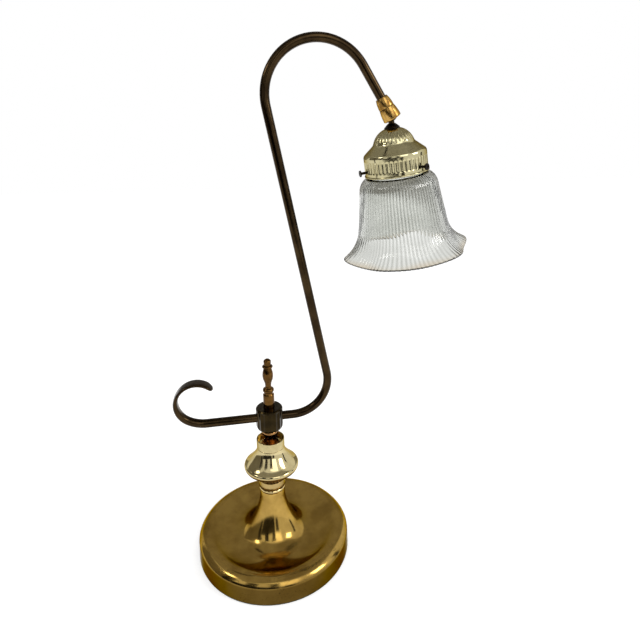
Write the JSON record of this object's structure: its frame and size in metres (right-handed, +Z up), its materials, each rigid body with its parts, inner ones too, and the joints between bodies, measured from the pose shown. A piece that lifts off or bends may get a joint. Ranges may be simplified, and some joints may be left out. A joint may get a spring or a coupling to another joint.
{
  "type": "table lamp",
  "caption": "Brass table lamp: a tube arm bent into a tall arch rises from a turned stem on a round dished base and carries a ruffled bell shade of clear glass on a ball swivel.",
  "frame": {"origin": "on the axis of the stem, where the felt under the base meets the table", "axes": "+Z up along the stem; the bent arm lies in the XZ plane, with the shade on the +X side and the scroll on the -X side; the lead enters at the back, on +Y"},
  "size_m": [0.3322, 0.1777, 0.5673],
  "materials": {
    "base_brass": "aged, polished",
    "felt": "napped",
    "iron": "rough",
    "black_plastic": "matt",
    "steel": "zinc plated",
    "bright_brass": "polished",
    "pale_brass": "aged, satin",
    "red_bronze": "aged",
    "olive_bronze": "aged",
    "dark_bronze": "dark patina",
    "lead_sheath": "matt",
    "swivel_brass": "worn",
    "fibre": "matt",
    "black_metal": "satin",
    "gallery_brass": "aged, satin",
    "porcelain": "glazed",
    "shade_glass": "clear, ribbed"
  },
  "bodies": {
    "stand": {"base_shell": "base_brass", "felt_pad": "felt", "base_weight": "iron", "cord_bush": "black_plastic", "stem_rod": "steel", "rod_washer": "steel", "rod_locknut": "steel", "neck_ring": "bright_brass", "lower_cup": "pale_brass", "vase_foot": "red_bronze", "vase_bowl": "pale_brass", "vase_shoulder": "pale_brass", "stem_cup": "pale_brass", "hub_foot": "red_bronze", "arm_hub": "olive_bronze", "finial": "red_bronze", "arm_tube": "dark_bronze", "lamp_lead": "lead_sheath", "swivel_body": "swivel_brass", "swivel_pad": "fibre"},
    "swivel": {"swivel_cap": "swivel_brass"},
    "head": {"ball_stem": "dark_bronze", "swivel_collar": "black_metal", "gallery": "gallery_brass", "holder_cap": "gallery_brass", "holder_core": "porcelain", "holder_shell": "gallery_brass", "lamp_thread": "bright_brass", "centre_contact": "bright_brass", "glass_shade": "shade_glass"},
    "thumbscrew_left": {"screw_left": "black_metal"},
    "thumbscrew_front": {"screw_front": "black_metal"},
    "thumbscrew_back": {"screw_back": "black_metal"}
  },
  "joints": [
    {"name": "shade_turn", "type": "hinge", "parent": "stand", "child": "swivel", "pos_m": [0.13579, 0, 0.49102], "axis": [0.5299, 0, -0.848], "range_deg": [-170, 170]},
    {"name": "shade_tilt", "type": "hinge", "parent": "swivel", "child": "head", "pos_m": [0.13579, 0, 0.49102], "axis": [0.1592, 0.9822, 0.0995], "range_deg": [-56, 8]},
    {"name": "screw_left_travel", "type": "slide", "parent": "head", "child": "thumbscrew_left", "axis": [-0.9866, 0, -0.1633], "range_m": [0, 0.003]},
    {"name": "screw_front_travel", "type": "slide", "parent": "head", "child": "thumbscrew_front", "axis": [0.5036, -0.8637, 0.0191], "range_m": [0, 0.003]},
    {"name": "screw_back_travel", "type": "slide", "parent": "head", "child": "thumbscrew_back", "axis": [0.4829, 0.8637, 0.1442], "range_m": [0, 0.003]}
  ]
}
